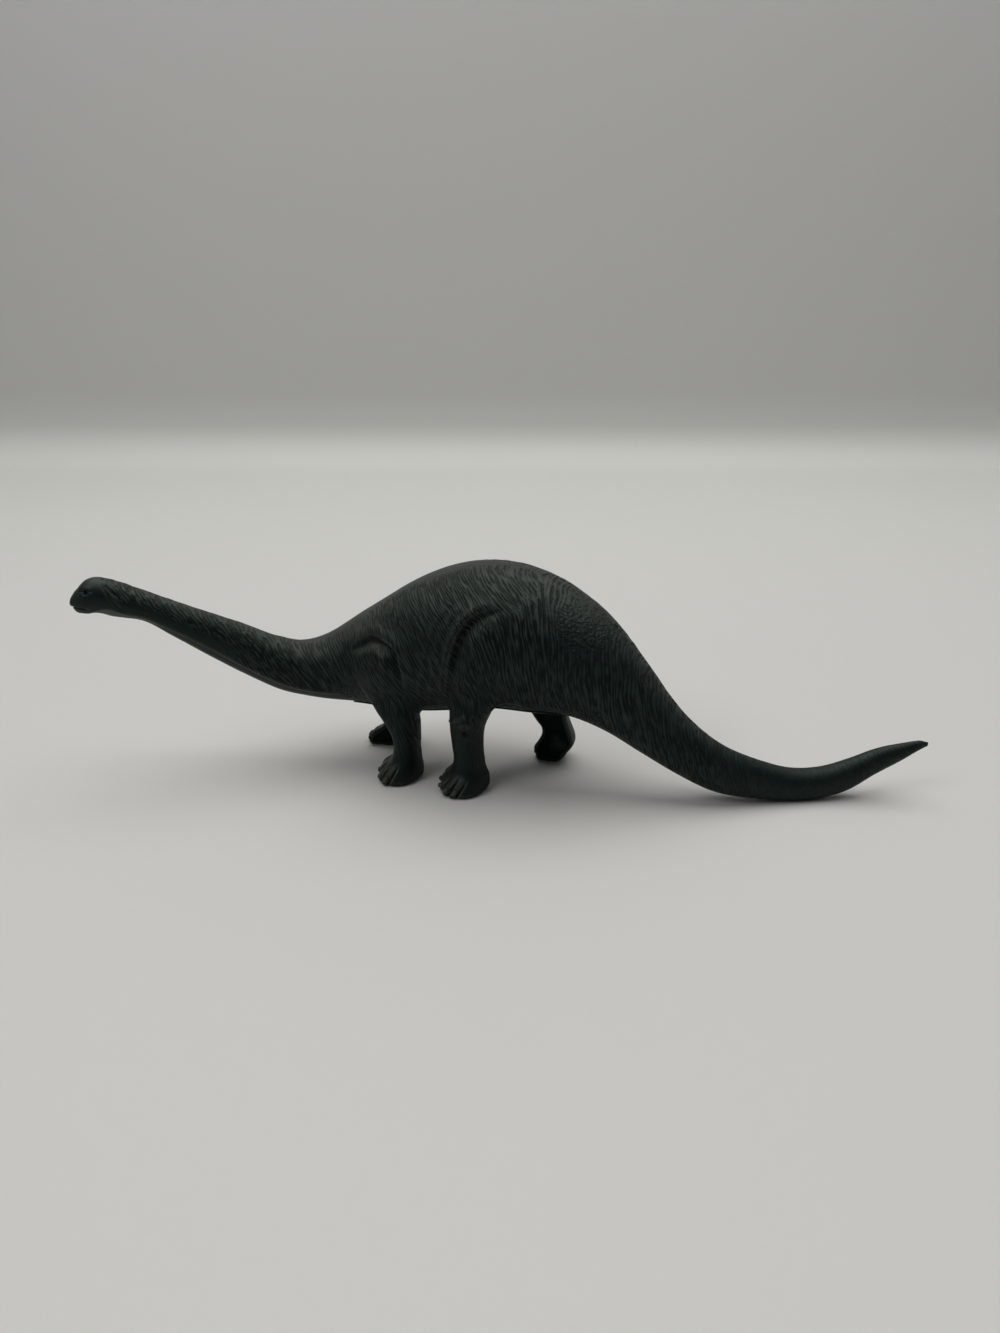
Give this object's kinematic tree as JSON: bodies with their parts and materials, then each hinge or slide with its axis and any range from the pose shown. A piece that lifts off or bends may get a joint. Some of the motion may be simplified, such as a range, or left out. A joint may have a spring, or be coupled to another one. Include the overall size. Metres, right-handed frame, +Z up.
{
  "type": "toy dinosaur figure",
  "caption": "Walking long-necked dinosaur figure in dark moulded plastic: left and right body shells with round leg walls, a belly panel and flat inner leg covers.",
  "frame": {"origin": "middle of the posed figure's box seen from above, on the floor under its feet", "axes": "+X runs from the nose to the tip of the tail, +Z is up, and -Y is the animal's left side"},
  "size_m": [0.333, 0.0724, 0.0896],
  "materials": {
    "engraved_plastic": "dark green-black satin plastic, engraved with fine skin lines",
    "smooth_plastic": "the same dark plastic, left smooth"
  },
  "bodies": {
    "root": {"left_body_shell": "engraved_plastic", "right_body_shell": "engraved_plastic", "belly_panel": "smooth_plastic", "left_fore_leg_cover": "smooth_plastic", "right_fore_leg_cover": "smooth_plastic", "left_hind_leg_cover": "smooth_plastic", "right_hind_leg_cover": "smooth_plastic"}
  },
  "joints": []
}
